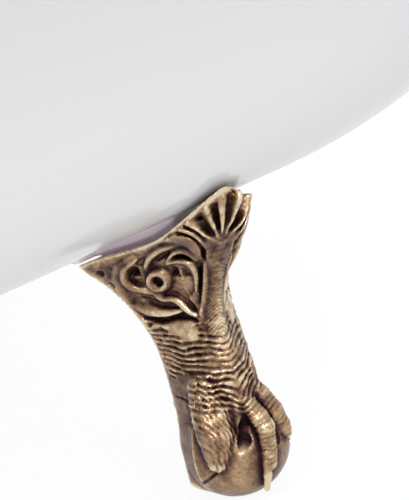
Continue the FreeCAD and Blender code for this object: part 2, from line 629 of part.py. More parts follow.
LEAN = wall_slope()
OUTWARD = Vector(-cos(LEAN), 0, -sin(LEAN))            # square to the wall, out of the bath
OUTER_SEAT = Vector(DRAIN_START - skin_at(OVERFLOW_HEIGHT, 4), 0, OVERFLOW_HEIGHT) - OUTWARD * SEAT_INSET
INNER_SEAT = OUTER_SEAT - OUTWARD * (WALL - SEAT_INSET - INNER_SEAT_INSET)
ELBOW_FACE = OUTER_SEAT + OUTWARD * OVERFLOW_GASKET
PIPE_X = ELBOW_FACE.x - ELBOW_OFFSET
ELBOW_BOTTOM = OVERFLOW_HEIGHT - ELBOW_DROP
TEE_TOP_Z = ARM_Z + TEE_TOP
TEE_BOTTOM_Z = ARM_Z - TEE_BOTTOM
SOCKET_STOP = SOCKET_DEPTH - SLIP_WASHER               # how far a pipe's end goes into a socket
ARM_END = PIPE_X + TEE_BRANCH - SOCKET_STOP


def at_pipe(z):
    return Vector(PIPE_X, 0, z)


def elbow_bend(radius):
    """A round bar along the elbow's centre line: out of the wall, round the bend, and down."""
    turn = pi / 2 - LEAN
    tangent = ELBOW_BEND * tan(turn / 2)
    knee = ELBOW_FACE + OUTWARD * (ELBOW_OFFSET / cos(LEAN))
    start, end = knee - OUTWARD * tangent, knee - UP * tangent
    centre = start + Vector(OUTWARD.z, 0, -OUTWARD.x) * -ELBOW_BEND
    middle = centre + (knee - centre).normalize() * ELBOW_BEND
    path = Part.Wire([Part.LineSegment(ELBOW_FACE, start).toShape(), Part.Arc(start, middle, end).toShape(),
                      Part.LineSegment(end, at_pipe(ELBOW_BOTTOM)).toShape()])
    outline = Part.Wire(Part.Circle(ELBOW_FACE, OUTWARD, radius).toShape())
    return path.makePipeShell([outline], True, True)


def overflow_elbow():
    """Cast elbow outside the wall: a flange square to the wall, and a socket for the pipe below."""
    flange = rod(ELBOW_FLANGE_RADIUS, ELBOW_FLANGE_THICKNESS, ELBOW_FACE, OUTWARD)
    bore_radius = PIPE_RADIUS - PIPE_WALL
    socket = rod(PIPE_RADIUS + PIPE_CLEARANCE, SOCKET_STOP, at_pipe(ELBOW_BOTTOM))
    hollow = elbow_bend(ELBOW_RADIUS).fuse(flange).cut(elbow_bend(bore_radius)).cut(socket)
    bar = Part.makeBox(ELBOW_BAR, 2 * bore_radius + 1, ELBOW_BAR, Vector(-ELBOW_BAR / 2, -bore_radius - 0.5, 0))
    bar.Placement = Placement(ELBOW_FACE, Rotation(UP, OUTWARD))
    screw_hole = rod(SCREW_RADIUS + THREAD_CLEARANCE, 2 * ELBOW_BAR, ELBOW_FACE - OUTWARD * ELBOW_BAR / 2, OUTWARD)
    return one_solid(hollow.fuse(bar).cut(screw_hole))


def overflow_plate():
    """Round plate inside the bath with a ring of holes that the water leaves by."""
    inward = OUTWARD * -1
    plate = spun([(0, 0), (PLATE_RADIUS, 0), (PLATE_RADIUS, 1.2), (PLATE_RADIUS - 5, PLATE_THICKNESS),
                  (0, PLATE_THICKNESS)], INNER_SEAT, inward)
    across, along = Vector(0, 1, 0), OUTWARD.cross(Vector(0, 1, 0))
    for k in range(PLATE_HOLES):
        turn = 2 * pi * (k + 0.5) / PLATE_HOLES
        centre = INNER_SEAT + across * (PLATE_HOLE_CIRCLE * cos(turn)) + along * (PLATE_HOLE_CIRCLE * sin(turn))
        plate = plate.cut(rod(PLATE_HOLE_RADIUS, PLATE_THICKNESS, centre, inward))
    return one_solid(plate.cut(rod(SCREW_RADIUS + THREAD_CLEARANCE, PLATE_THICKNESS, INNER_SEAT, inward)))


def overflow_screw():
    """Screw from the plate through the wall into the elbow's bar."""
    inward = OUTWARD * -1
    length = PLATE_THICKNESS + WALL - SEAT_INSET - INNER_SEAT_INSET + OVERFLOW_GASKET + ELBOW_BAR
    under_head = INNER_SEAT + inward * PLATE_THICKNESS
    shank = rod(SCREW_RADIUS, length, under_head, OUTWARD)
    head = spun([(0, 0), (SCREW_HEAD_RADIUS, 0), (SCREW_HEAD_RADIUS, 0.6), (SCREW_HEAD_RADIUS - 2, SCREW_HEAD_HEIGHT),
                 (0, SCREW_HEAD_HEIGHT)], under_head, inward)
    slot = Part.makeBox(SCREW_SLOT, 3 * SCREW_HEAD_RADIUS, SCREW_HEAD_HEIGHT,
                        Vector(-SCREW_SLOT / 2, -1.5 * SCREW_HEAD_RADIUS, SCREW_HEAD_HEIGHT / 2))
    slot.Placement = Placement(under_head, Rotation(UP, inward))
    return one_solid(shank.fuse(head).cut(slot))


def waste_tee():
    """Tee where the overflow pipe, the shoe's arm and the tailpiece meet, each in a socket."""
    along = Vector(1, 0, 0)
    run = rod(TEE_RADIUS, TEE_TOP + TEE_BOTTOM, at_pipe(TEE_BOTTOM_Z))
    branch = rod(TEE_RADIUS, TEE_BRANCH, at_pipe(ARM_Z), along)
    bore = PIPE_RADIUS - PIPE_WALL
    socket = PIPE_RADIUS + PIPE_CLEARANCE
    cuts = [rod(bore, TEE_TOP + TEE_BOTTOM, at_pipe(TEE_BOTTOM_Z)), rod(bore, TEE_BRANCH, at_pipe(ARM_Z), along),
            rod(socket, SOCKET_STOP, at_pipe(TEE_TOP_Z - SOCKET_STOP)), rod(socket, SOCKET_STOP, at_pipe(TEE_BOTTOM_Z)),
            rod(socket, SOCKET_STOP, Vector(ARM_END, 0, ARM_Z), along)]
    whole = run.fuse(branch)
    for cut in cuts:
        whole = whole.cut(cut)
    return one_solid(whole)


def pipe(low, high):
    """A straight length of brass pipe on the pipes' centre line."""
    return ring(PIPE_RADIUS, PIPE_RADIUS - PIPE_WALL, high - low, at_pipe(low))


def slip_places():
    """The open end of each socket, and the way its pipe leaves."""
    return [(at_pipe(ELBOW_BOTTOM), UP * -1), (at_pipe(TEE_TOP_Z), UP), (at_pipe(TEE_BOTTOM_Z), UP * -1),
            (Vector(PIPE_X + TEE_BRANCH, 0, ARM_Z), Vector(1, 0, 0))]


def slip_washer(end, way):
    """Soft washer squeezed between a socket's end and the lip of its nut."""
    return ring(TEE_RADIUS - 0.5, PIPE_RADIUS + PIPE_CLEARANCE, SLIP_WASHER, end, way)


def slip_nut(end, way):
    """Six-sided nut that screws over the socket and closes on the washer."""
    back = end - way * (SLIP_NUT_HEIGHT - SLIP_WASHER - SLIP_NUT_LIP)
    body = hexagon(SLIP_NUT_FLATS, SLIP_NUT_HEIGHT, back, way)
    body = body.common(Part.makeSphere(SLIP_NUT_FLATS * 0.585, back + way * SLIP_NUT_HEIGHT / 2))
    thread = rod(TEE_RADIUS + THREAD_CLEARANCE, SLIP_NUT_HEIGHT - SLIP_NUT_LIP, back, way)
    return one_solid(body.cut(thread).cut(rod(PIPE_RADIUS + PIPE_CLEARANCE, SLIP_NUT_HEIGHT, back, way)))


# ---- The bath with its pads and holes -----------------------------------------------------------------
def tub_shell():
    casting = bare_casting()
    inside = closed_solid(skin_segments(WALL / 2))
    block = pad_block()
    stud_hole = rod(STUD_RADIUS + STUD_CLEARANCE, STUD_DEPTH + 1, STUD_BASE + UP * PAD_Z)
    pads = [placed(block, place).cut(inside) for _, place in foot_places()]
    casting = one_solid(casting.multiFuse(pads))
    for _, place in foot_places():
        casting = casting.cut(placed(stud_hole, place))
    casting = casting.cut(rod(DRAIN_HOLE_RADIUS, 3 * WALL, at_drain(BOTTOM_HEIGHT - WALL)))
    casting = casting.cut(rod(OVERFLOW_HOLE_RADIUS, 6 * WALL, OUTER_SEAT - OUTWARD * 4 * WALL, OUTWARD))
    casting = casting.cut(rod(SEAT_RADIUS, 2 * WALL, OUTER_SEAT, OUTWARD))
    casting = casting.cut(rod(SEAT_RADIUS, 2 * WALL, INNER_SEAT, OUTWARD * -1))
    return one_solid(casting)


def main():
    os.makedirs("parts", exist_ok=True)
    save("tub_shell", tub_shell())
    foot = foot_casting()
    places = foot_places()
    for name, place in places:
        save(name, placed(foot, place))
    save("foot_studs", *[placed(stud(), place) for _, place in places])
    save("foot_washers", *[placed(stud_washer(), place) for _, place in places])
    save("foot_nuts", *[placed(stud_nut(), place) for _, place in places])
    save("drain_flange", drain_flange())
    inner = DRAIN_BODY_RADIUS + THREAD_CLEARANCE
    save("flange_seal", ring(FLANGE_RADIUS - 1, inner, FLANGE_SEAL, at_drain(FLOOR_TOP)))
    save("drain_gasket", ring(GASKET_RADIUS, inner, GASKET_THICKNESS, at_drain(SHOE_TOP)))
    save("drain_shoe", drain_shoe())
    save("stopper_post", stopper_post())
    save("stopper_sleeve", stopper_sleeve())
    save("stopper_cap", stopper_cap())
    save("stopper_seal", stopper_seal())
    save("stopper_knob", stopper_knob())
    save("overflow_plate", overflow_plate())
    save("overflow_screw", overflow_screw())
    gasket = ring(ELBOW_FLANGE_RADIUS, OVERFLOW_HOLE_RADIUS, OVERFLOW_GASKET, OUTER_SEAT, OUTWARD)
    save("overflow_gasket", gasket)
    save("overflow_elbow", overflow_elbow())
    save("overflow_pipe", pipe(TEE_TOP_Z - SOCKET_STOP, ELBOW_BOTTOM + SOCKET_STOP))
    save("waste_tee", waste_tee())
    tail_top = TEE_BOTTOM_Z + SOCKET_STOP
    outlet_top = TEE_BOTTOM_Z - SLIP_WASHER - SLIP_NUT_LIP - OUTLET_GAP
    outlet = ring(OUTLET_RADIUS, PIPE_RADIUS - PIPE_WALL, OUTLET_LENGTH, at_pipe(outlet_top - OUTLET_LENGTH))
    save("tailpiece", one_solid(pipe(outlet_top, tail_top).fuse(outlet)))
    save("slip_nuts", *[slip_nut(end, way) for end, way in slip_places()])
    save("slip_washers", *[slip_washer(end, way) for end, way in slip_places()])


main()
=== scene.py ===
from math import cos, pi, radians, sin

import bpy
import numpy as np
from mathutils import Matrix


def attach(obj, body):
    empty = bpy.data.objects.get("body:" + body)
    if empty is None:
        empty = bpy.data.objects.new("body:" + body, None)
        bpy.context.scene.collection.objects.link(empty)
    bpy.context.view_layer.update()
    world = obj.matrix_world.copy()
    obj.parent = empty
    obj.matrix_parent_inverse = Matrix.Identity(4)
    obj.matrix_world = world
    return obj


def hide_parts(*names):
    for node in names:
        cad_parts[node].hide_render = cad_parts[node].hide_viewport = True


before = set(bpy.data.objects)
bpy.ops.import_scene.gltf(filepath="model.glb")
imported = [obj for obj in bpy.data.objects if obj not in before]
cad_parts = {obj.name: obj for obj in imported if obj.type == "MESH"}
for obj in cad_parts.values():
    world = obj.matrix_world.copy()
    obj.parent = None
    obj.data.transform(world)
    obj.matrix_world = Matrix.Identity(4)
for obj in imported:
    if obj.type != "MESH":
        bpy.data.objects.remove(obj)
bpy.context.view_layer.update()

import openvdb
from mathutils import Matrix, Vector

# ---- The photographer's place: a little above the foot, in front of the bath and to its left, near enough
# for one foot and one corner of the bath. The camera is turned, so that the bath seems to climb to the right.
AZIMUTH, ELEVATION, ROLL = radians(21.53), radians(22.65), radians(15.98)
SEEN_POINT = Vector((0.1859, -0.2656, 0.1584))    # at the middle of the picture
DISTANCE = 2.2
PICTURE_HEIGHT = 0.2273                           # what the picture's height covers at that distance
SENSOR_WIDTH = 36.0

sight = Vector((sin(AZIMUTH) * cos(ELEVATION), cos(AZIMUTH) * cos(ELEVATION), -sin(ELEVATION)))
level = Vector((cos(AZIMUTH), -sin(AZIMUTH), 0))
upward = level.cross(sight)
across = level * cos(ROLL) - upward * sin(ROLL)
above = level * sin(ROLL) + upward * cos(ROLL)
camera = bpy.data.objects.new("camera", bpy.data.cameras.new("camera"))
facing = Matrix((across, above, -sight)).transposed().to_4x4()
camera.matrix_world = Matrix.Translation(SEEN_POINT - sight * DISTANCE) @ facing
camera.data.sensor_width = SENSOR_WIDTH
camera.data.lens = SENSOR_WIDTH * DISTANCE / PICTURE_HEIGHT
camera.data.clip_start, camera.data.clip_end = 0.1, 50.0
bpy.context.scene.collection.objects.link(camera)
bpy.context.scene.camera = camera
bpy.context.scene.view_settings.view_transform = "Standard"


# ---- Studio: a pale floor that keeps a soft shadow, white all round, one wide lamp over the bath's front and
# a smaller one low on the left, which puts the bright spots on the polished brass.
def linear(hexcode):
    """A colour written as sRGB hex, as the linear values that a shader takes."""
    parts = [int(hexcode[i:i + 2], 16) / 255 for i in (1, 3, 5)]
    return tuple(c / 12.92 if c <= 0.04045 else ((c + 0.055) / 1.055) ** 2.4 for c in parts) + (1.0,)


def add(tree, kind, inputs=(), **settings):
    """Adds a node: settings are its own options, inputs are values or other nodes' outputs by socket."""
    made = tree.nodes.new(kind)
    for name, value in settings.items():
        setattr(made, name, value)
    for socket, value in dict(inputs).items():
        if isinstance(value, bpy.types.NodeSocket):
            tree.links.new(value, made.inputs[socket])
        else:
            made.inputs[socket].default_value = value
    return made


def blank_material(name):
    """A material with an empty tree and its output."""
    made = bpy.data.materials.new(name)
    made.use_nodes = True
    made.node_tree.nodes.clear()
    return made, made.node_tree, made.node_tree.nodes.new("ShaderNodeOutputMaterial")


def seen_directly(tree):
    """1 for rays from the camera, and for those that metal reflects and glass lets through."""
    path = add(tree, "ShaderNodeLightPath")
    mirror = add(tree, "ShaderNodeMath", {0: path.outputs["Is Camera Ray"], 1: path.outputs["Is Glossy Ray"]},
                 operation="MAXIMUM")
    return add(tree, "ShaderNodeMath", {0: mirror.outputs[0], 1: path.outputs["Is Transmission Ray"]},
               operation="MAXIMUM").outputs[0]


ROOM_LIGHT = 1.0
FLOOR_SIZE = 16.0
FLOOR_SHADOW = 0.2       # how much of the floor's own shading shows: the rest is the white background
FLOOR_WHITE = 1.1        # enough for a floor that its own shading greys a little to come out white

world = bpy.data.worlds.new("studio")
bpy.context.scene.world = world
world.use_nodes = True
sky = world.node_tree
sky.nodes.clear()
seen = add(sky, "ShaderNodeBackground", {"Color": linear("#ffffff"), "Strength": 1.0})
lit = add(sky, "ShaderNodeBackground", {"Color": linear("#fdfdff"), "Strength": ROOM_LIGHT})
mixed = add(sky, "ShaderNodeMixShader", {0: seen_directly(sky), 1: lit.outputs[0], 2: seen.outputs[0]})
add(sky, "ShaderNodeOutputWorld", {"Surface": mixed.outputs[0]})

bpy.ops.mesh.primitive_plane_add(size=FLOOR_SIZE)
floor = bpy.context.object
floor.name = "studio_floor"
paint, tree, output = blank_material("pale_studio_floor")
matt = add(tree, "ShaderNodeBsdfDiffuse", {"Color": linear("#f6f6f6")})
glow = add(tree, "ShaderNodeEmission", {"Color": linear("#ffffff"), "Strength": FLOOR_WHITE})
share = add(tree, "ShaderNodeMath", {0: seen_directly(tree), 1: 1 - FLOOR_SHADOW}, operation="MULTIPLY")
both = add(tree, "ShaderNodeMixShader", {0: share.outputs[0], 1: matt.outputs[0], 2: glow.outputs[0]})
tree.links.new(both.outputs[0], output.inputs["Surface"])
floor.data.materials.append(paint)


def lamp(name, place, target, size, watts):
    """A square soft lamp that points at a target, with its places and size in metres."""
    made = bpy.data.objects.new(name, bpy.data.lights.new(name, "AREA"))
    made.data.size = size
    made.data.energy = watts
    made.location = place
    made.rotation_euler = (Vector(target) - Vector(place)).to_track_quat("-Z", "Y").to_euler()
    bpy.context.scene.collection.objects.link(made)


lamp("lamp_over_front", place=(0.7, -2.6, 0.7), target=(0.2, 0, 0.15), size=1.3, watts=8)
lamp("lamp_low_left", place=(-0.9, -2.0, 0.5), target=(0.2, -0.22, 0.1), size=0.2, watts=12)


# ---- Feet: claw-and-ball feet, each cast in brass in one piece, hollow behind, chased by hand and antiqued.
# Each bolts up to a cast pad under the bath. The relief is carved on a copy of the plain casting. A foot's
# sizes are in millimetres from the floor under its ball's centre.
BALL_RADIUS, BALL_HEIGHT = 27.0, 25.0
FOOT_X, FOOT_Y = {"head": 205.0, "drain": -415.0}, 185.97
GRAIN = 0.66              # size of one step of the carving
REACH = 7.0               # how far from the casting's skin the carving works
HALF_WIDTH, FRONT, BACK, TOP = 48.0, -82.0, 24.0, 190.0    # the block of space that holds the foot
UNDER_FLOOR = 4.0         # how far the block goes on below the floor
ANKLE = 72.0              # the toes are modelled below it
HOLLOW_FROM = 60.0        # the foot's back is open above it
WING_FROM = 84.0          # the wings' scrollwork begins above the leg's skin
FLUTES_FROM = 146.0       # the shell's flutes spread from here on the front ridge
RIGHT_LOBE = 5.2          # how much further forward the crest's right lobe swells than its left one

# The front ridge, from the floor to the crest, and the upper edge of wing and crest, from the wing's tip.
RIDGE_HEIGHTS = [0, 6, 20, 38, 55, 82, 95, 108, 120, 133, 145, 160, 186]
RIDGE_FORWARD = [12, 15, 20, 23, 24, 24.4, 25.5, 30, 37, 45, 53.4, 63, 77.4]
EDGE_FORWARD = [-21, -5, 10, 33, 54, 69.5, 75]
EDGE_HEIGHTS = [133, 138.4, 143, 152.6, 165.6, 176.6, 181.5]


def smooth(value, low, high):
    """0 below low, 1 above high, and a soft step between."""
    t = np.clip((value - low) / (high - low), 0, 1)
    return t * t * (3 - 2 * t)


def curve_through(points, steps=6):
    """A smooth line through a few points of the chart."""
    p = np.array([points[0]] + list(points) + [points[-1]], float)
    made = []
    for k in range(1, len(p) - 2):
        for t in np.arange(steps) / steps:
            made.append(0.5 * (2 * p[k] + (p[k + 1] - p[k - 1]) * t
                               + (2 * p[k - 1] - 5 * p[k] + 4 * p[k + 1] - p[k + 2]) * t ** 2
                               + (3 * p[k] - p[k - 1] - 3 * p[k + 1] + p[k + 2]) * t ** 3))
    return np.array(made + [p[-2]])


def line_distance(u, v, points):
    """Distance from each place of the chart to a smooth line, and how far along it the nearest point is."""
    line = curve_through(points)
    best, along = np.full(u.shape, 1e9), np.zeros(u.shape)
    for k, (a, b) in enumerate(zip(line, line[1:])):
        run = b - a
        t = np.clip(((u - a[0]) * run[0] + (v - a[1]) * run[1]) / (run @ run + 1e-9), 0, 1)
        gap = np.hypot(u - a[0] - t * run[0], v - a[1] - t * run[1])
        along = np.where(gap < best, (k + t) / (len(line) - 1), along)
        best = np.minimum(best, gap)
    return best, along


# The wings' scrollwork is drawn on a chart whose two sides are the distance back from the front ridge and the
# height above the floor. Its raised lines: places on the chart, half width, height.
RIDGES = [
    ([(48, 138.5), (56, 131.7), (58, 123.4), (56.3, 115), (52.2, 108), (46.5, 99.4), (40, 92)], 3.6, 1.3),
    ([(46.5, 136.5), (52.5, 130.5), (53, 123), (49.6, 118), (43.4, 115.4), (37, 113.5)], 3.2, 2.4),
    ([(41, 131.0), (38.5, 137.8), (32, 143.8), (24.5, 147)], 3.0, 2.2),
    ([(29, 135.5), (25, 141.6), (20.5, 143.8), (15.9, 142), (12, 137.5)], 2.6, 2.0),
    ([(28.5, 134.5), (23, 136.9), (17, 136.5), (12.9, 131.6), (11.6, 124.5), (11.8, 117)], 2.6, 2.8),
    ([(36, 151.5), (30, 152.5), (23, 152), (15.8, 149), (12.8, 143), (11.9, 137.9)], 4.6, 1.6),
    ([(24, 159.5), (17, 157.4), (11.6, 152.4), (8.5, 145)], 2.2, 1.5),
    ([(37.7, 114.0), (32.4, 110.2), (25.8, 110.2), (21.6, 107.7), (17.7, 104.0), (13.5, 101.4)], 3.0, 2.4),
    ([(50, 107), (43, 104.2), (37.4, 103), (28.4, 102.2), (21.8, 103.6)], 3.4, 2.0),
    ([(30, 96), (22, 95), (17.5, 92), (16, 87)], 6.0, 1.8),
    ([(9.8, 141), (7.6, 131), (7.4, 120), (8.2, 110), (10.5, 102)], 2.2, 1.4)]
# Its cut lines and hollows: places, half width, depth.
CUTS = [
    ([(47.5, 130.5), (48.2, 123.5), (45.0, 118.8)], 4.4, 3.6),
    ([(42.5, 137.5), (45.5, 132.5)], 2.6, 2.2),
    ([(35.4, 136.0), (32.8, 139.6), (28, 142.2)], 3.0, 3.2),
    ([(25.5, 139.4), (20.3, 140.4), (14.5, 137.6)], 1.8, 2.0),
    ([(25.0, 130.5), (24.6, 122), (23.6, 114.5), (20, 109), (15, 105)], 5.0, 4.4),
    ([(19, 130), (17.2, 122), (16.5, 114)], 4.5, 2.4),
    ([(29, 157), (21.5, 155.8), (14.9, 153.8), (10.2, 148.4), (8.6, 141), (9.2, 128.6), (9.6, 116.9),
      (10.5, 109)], 1.5, 2.4),
    ([(24, 163), (17.5, 160), (12, 155.6), (8.6, 150)], 1.6, 2.0),
    ([(44, 110.4), (34, 106.6), (28.4, 106.0), (22, 105.6)], 2.4, 2.8),
    ([(43, 99.2), (35, 98.2), (28.3, 98.8), (18.4, 100.2), (13, 98.2)], 2.8, 3.0),
    ([(69, 128.6), (65.5, 125.8)], 3.4, 1.8),
    ([(62.4, 119.6), (60.2, 116.8)], 3.0, 2.2)]
SCROLL_EYE = (34.0, 122.4)       # a ring with a pit in it, a little taller than wide
EYE_RING, EYE_REACH = 4.9, 8.1   # the ring's crown, and where the scrollwork takes over


def scrollwork(back, height):
    """The wing's raised and cut lines: its height over the plain casting, in millimetres."""
    up = np.zeros(back.shape)
    down = np.zeros(back.shape)
    for points, half, rise in RIDGES:
        gap, along = line_distance(back, height, points)
        taper = 0.45 + 0.55 * np.sin(pi * np.clip(along, 0.02, 0.98)) ** 0.6
        shape = np.clip(1 - gap / (half * taper), 0, 1)
        up = np.maximum(up, rise * taper * (1 - (1 - shape) ** 2))
    for points, half, depth in CUTS:
        gap, along = line_distance(back, height, points)
        taper = 0.5 + 0.5 * np.sin(pi * np.clip(along, 0.02, 0.98)) ** 0.6
        down = np.maximum(down, depth * taper * smooth(half * taper - gap, 0, half * 0.75))
    made = up - down * (1 - smooth(up, 0.4, 1.6))
    eye = np.hypot(back - SCROLL_EYE[0], (height - SCROLL_EYE[1]) / 1.12)
    ring = 3.2 * np.clip(1 - ((eye - EYE_RING) / 3.2) ** 2, 0, 1) - 2.4 * (1 - smooth(eye, 1.4, 3.2))
    round_ring = np.where(eye > EYE_REACH - 1.5, made, ring)
    return np.where(eye < EYE_REACH, np.maximum(ring, round_ring), made)


def shell_flutes(back, height, under_edge):
    """The crest is a fan of hollow flutes that spread from its foot and stop short of its rim."""
    turn = np.degrees(np.arctan2(back, height - FLUTES_FROM))
    out = np.hypot(back, height - FLUTES_FROM)
    ribs = 1.1 * np.exp(-(turn / 3.4) ** 2) + 1.2 * np.exp(-((turn - 19.5) / 4.0) ** 2)
    ribs += 1.4 * np.exp(-((turn - 46) / 5.0) ** 2)
    flutes = 3.0 * np.exp(-((turn - 9.8) / 3.6) ** 2) + 3.6 * np.exp(-((turn - 33) / 6.5) ** 2)
    made = (ribs - flutes) * smooth(out, 3, 14) * smooth(under_edge, 0.4, 2.2)
    return made * (turn < 62) * (height > FLUTES_FROM)


def waves(shape, seed, cells):
    """Soft irregular noise over the chart, from -1 to 1, with cells of so many steps."""
    rows, columns = shape
    values = np.random.RandomState(seed).uniform(-1, 1, (int(rows / cells) + 3, int(columns / cells) + 3))
    r, c = np.arange(rows)[:, None] / cells, np.arange(columns)[None, :] / cells
    i, j = r.astype(int), c.astype(int)
    fr, fc = r - i, c - j
    fr, fc = fr * fr * (3 - 2 * fr), fc * fc * (3 - 2 * fc)
    return ((values[i, j] * (1 - fr) + values[i + 1, j] * fr) * (1 - fc)
            + (values[i, j + 1] * (1 - fr) + values[i + 1, j + 1] * fr) * fc)


def creases(phase, sharp=0.55):
    """Rounded rolls of skin with sharp creases between them, from 0 in a crease to 1 on a roll."""
    return np.abs(np.sin(pi * phase)) ** sharp


STEP = 0.4                # of the chart
CHART_BACK = 90.0         # how far back the chart goes
ROLL_PITCH = 3.35         # from one roll of skin to the next
CHART = np.meshgrid(np.arange(0, CHART_BACK, STEP), np.arange(0, TOP, STEP), indexing="ij")


def leg_skin():
    """The leg's skin on the chart: rolls that dip to the front ridge, a pitted hide, a notched ridge."""
    back, height = CHART
    dip = np.interp(height, [45, 54, 65, 82, 95, 110], [11, 10, 9, 5.5, 2, 8])
    side = 1 - np.exp(-back / 11.0)
    warp = 0.55 * waves(back.shape, 3, 28) + 0.2 * waves(back.shape, 4, 11) + 0.07 * waves(back.shape, 11, 5)
    rolls = creases((height - dip * side) / ROLL_PITCH + warp, 0.38)
    strength = 0.8 + 0.5 * waves(back.shape, 5, 16)
    fade = smooth(height - dip * side, 44, 49) * (1 - smooth(height - 0.25 * back, 86, 93))
    fade *= 1 - 0.75 * smooth(back, 30, 38) * (1 - smooth(height, 62, 76))
    made = 1.9 * strength * fade * (rolls - 0.84)
    made += (0.35 * waves(back.shape, 12, 9) + 0.25 * waves(back.shape, 13, 4)) * smooth(height, 48, 54)
    notch = creases((height + 0.9 * back) / 2.2 + 0.2 * waves(back.shape, 6, 12))
    on_ridge = (1 - smooth(back, 6.5, 9.5)) * smooth(height, 88, 94) * (1 - smooth(height, 126, 140))
    made += 1.25 * (notch - 0.7) * on_ridge
    notch = creases((height + 0.35 * back) / 2.5 + 0.2 * waves(back.shape, 7, 12))
    beside_ridge = smooth(back, 9, 11) * (1 - smooth(back, 13, 17))
    beside_ridge = beside_ridge * smooth(height, 86, 90) * (1 - smooth(height, 98, 103))
    made += 0.9 * (notch - 0.7) * beside_ridge
    return made


def round_cone(x, y, z, a, b):
    """Distance to a bar with round ends between two places, each given with its radius."""
    (ax, ay, az, ar), (bx, by, bz, br) = a, b
    run = (bx - ax, by - ay, bz - az)
    t = np.clip(((x - ax) * run[0] + (y - ay) * run[1] + (z - az) * run[2]) / sum(c * c for c in run), 0, 1)
    gap = np.sqrt((x - ax - t * run[0]) ** 2 + (y - ay - t * run[1]) ** 2 + (z - az - t * run[2]) ** 2)
    return gap - (ar + (br - ar) * t), t


def blended(first, second, soft):
    """The union of two shapes with a fillet of about that radius."""
    mix = np.clip(0.5 + 0.5 * (second - first) / soft, 0, 1)
    return second + (first - second) * mix - soft * mix * (1 - mix)


def chain(x, y, z, joints, soft, pitch=0.0, depth=0.0, slant=0.0):
    """Distance to a chain of bars, with creases across it at a pitch along it."""
    best, start = None, 0.0
    for a, b in zip(joints, joints[1:]):
        gap, t = round_cone(x, y, z, a, b)
        length = sum((q - p) ** 2 for p, q in zip(a[:3], b[:3])) ** 0.5
        if pitch:
            phase = (start + t * length + slant * x) / pitch + 0.12 * np.sin(x * 0.8 + z * 0.45)
            gap = gap + depth * (0.78 - creases(phase, 0.4))
        best = gap if best is None else blended(best, gap, soft)
        start += length
    return best


# Toes, claw and the gaps between them, as bars between joints: sideways, in front of the ball's centre,
# height, radius. The three toes differ: the hand that modelled them spread them unevenly.
BROAD_TOE = [(-10.0, 10.5, 64, 8.6), (-13.2, 15.2, 50, 9.2), (-14.8, 17.6, 41, 8.6), (-17.0, 18.8, 33, 6.4),
             (-18.8, 19.6, 28, 4.2)]
MIDDLE_TOE = [(1.4, 19.8, 56, 4.0), (3.2, 22.2, 50, 4.5), (5.4, 25.0, 43.5, 4.7), (6.6, 26.6, 38, 4.9),
              (5.8, 26.3, 31, 4.3), (4.9, 25.8, 25, 4.6), (4.0, 25.0, 19.5, 4.3)]
THIN_TOE = [(6.6, 14.6, 60, 5.2), (11.6, 15.4, 49, 6.3), (15.4, 17.2, 39, 6.0), (17.8, 17.8, 30.5, 5.0),
            (18.6, 17.8, 26.5, 4.2)]
CLAW = [(2.6, 26.8, 21.5, 2.8), (1.4, 26.0, 14, 2.3), (0.9, 22.0, 5.2, 1.5)]
POCKET = [(-1.6, 25.0, 46.5, 1.4), (-2.6, 24.8, 41, 3.2), (-4.6, 25.4, 35, 3.6), (-8.2, 25.2, 29.5, 1.8)]
FURROW = [(6.6, 23.6, 49, 1.0), (10.2, 23.4, 42, 1.9), (12.0, 24.2, 35, 2.3), (12.8, 24.0, 27, 2.2)]
HEEL_LINE = [(17.8, 22.8, 25.5, 1.0), (23.4, 12.2, 17.5, 1.0), (23.8, -3.0, 9.5, 0.8),
             (23.2, -14.0, 5.5, 0.6)]
# The leg below its ankle, as an oval at each height: half its width, and how far its widest place lies back.
LEG_HEIGHTS = [6, 20, 38, 55, 70, 82]
LEG_HALF = [23.4, 22.9, 21.5, 20.5, 20.3, 21.0]
LEG_BACK = [15, 15, 13, 11, 11, 11]


def lower_foot(base, x, y, z):
    """Takes the plain toes off the casting below its ankle, and puts the modelled ones on."""
    forward = -y
    ball = np.sqrt(x ** 2 + y ** 2 + (z - BALL_HEIGHT) ** 2) - BALL_RADIUS
    broad = chain(x, forward, z, BROAD_TOE, soft=1.2, pitch=4.4, depth=1.3, slant=-1.7)
    middle = chain(x, forward, z, MIDDLE_TOE, soft=0.8, pitch=2.2, depth=0.85)
    thin = chain(x, forward, z, THIN_TOE, soft=0.8, pitch=2.4, depth=0.9)
    ridge, half, rear = [np.interp(z, heights, values) for heights, values in (
        (RIDGE_HEIGHTS, RIDGE_FORWARD), (LEG_HEIGHTS, LEG_HALF), (LEG_HEIGHTS, LEG_BACK))]
    oval = np.hypot(x / half, np.minimum(y - rear, 0) / (rear + ridge))
    body = (oval - 1) * 20 - 0.3 - 14 * smooth(z, ANKLE - 2.2, ANKLE - 0.8)
    wanted = np.minimum(np.minimum(ball, body), np.minimum(np.minimum(broad, middle), thin) + 0.4)
    base = np.maximum(base, np.minimum(wanted, 4.0))
    # the heel's sides are flat, and the front and the leg over it keep their own shape
    past_side = half + 0.4 - np.abs(x) + 9 * smooth(forward, 2, 12) + 9 * smooth(z, 48, 55)
    base = -blended(-base, past_side, 3.0)
    for joints in (HEEL_LINE, [(-a, b, c, d) for a, b, c, d in HEEL_LINE]):
        base = np.maximum(base, -chain(x, forward, z, joints, 0.5))
    base = blended(base, broad, 3.2)
    base = blended(base, thin, 0.9)
    base = np.maximum(base, np.minimum(-chain(x, forward, z, POCKET, 0.8), ball + 2.8 * smooth(z, 29, 37)))
    base = np.maximum(base, np.minimum(-chain(x, forward, z, FURROW, 0.8), ball + 0.8))
    base = blended(base, middle, 0.9)
    return blended(base, chain(x, forward, z, CLAW, 0.6), 0.5)


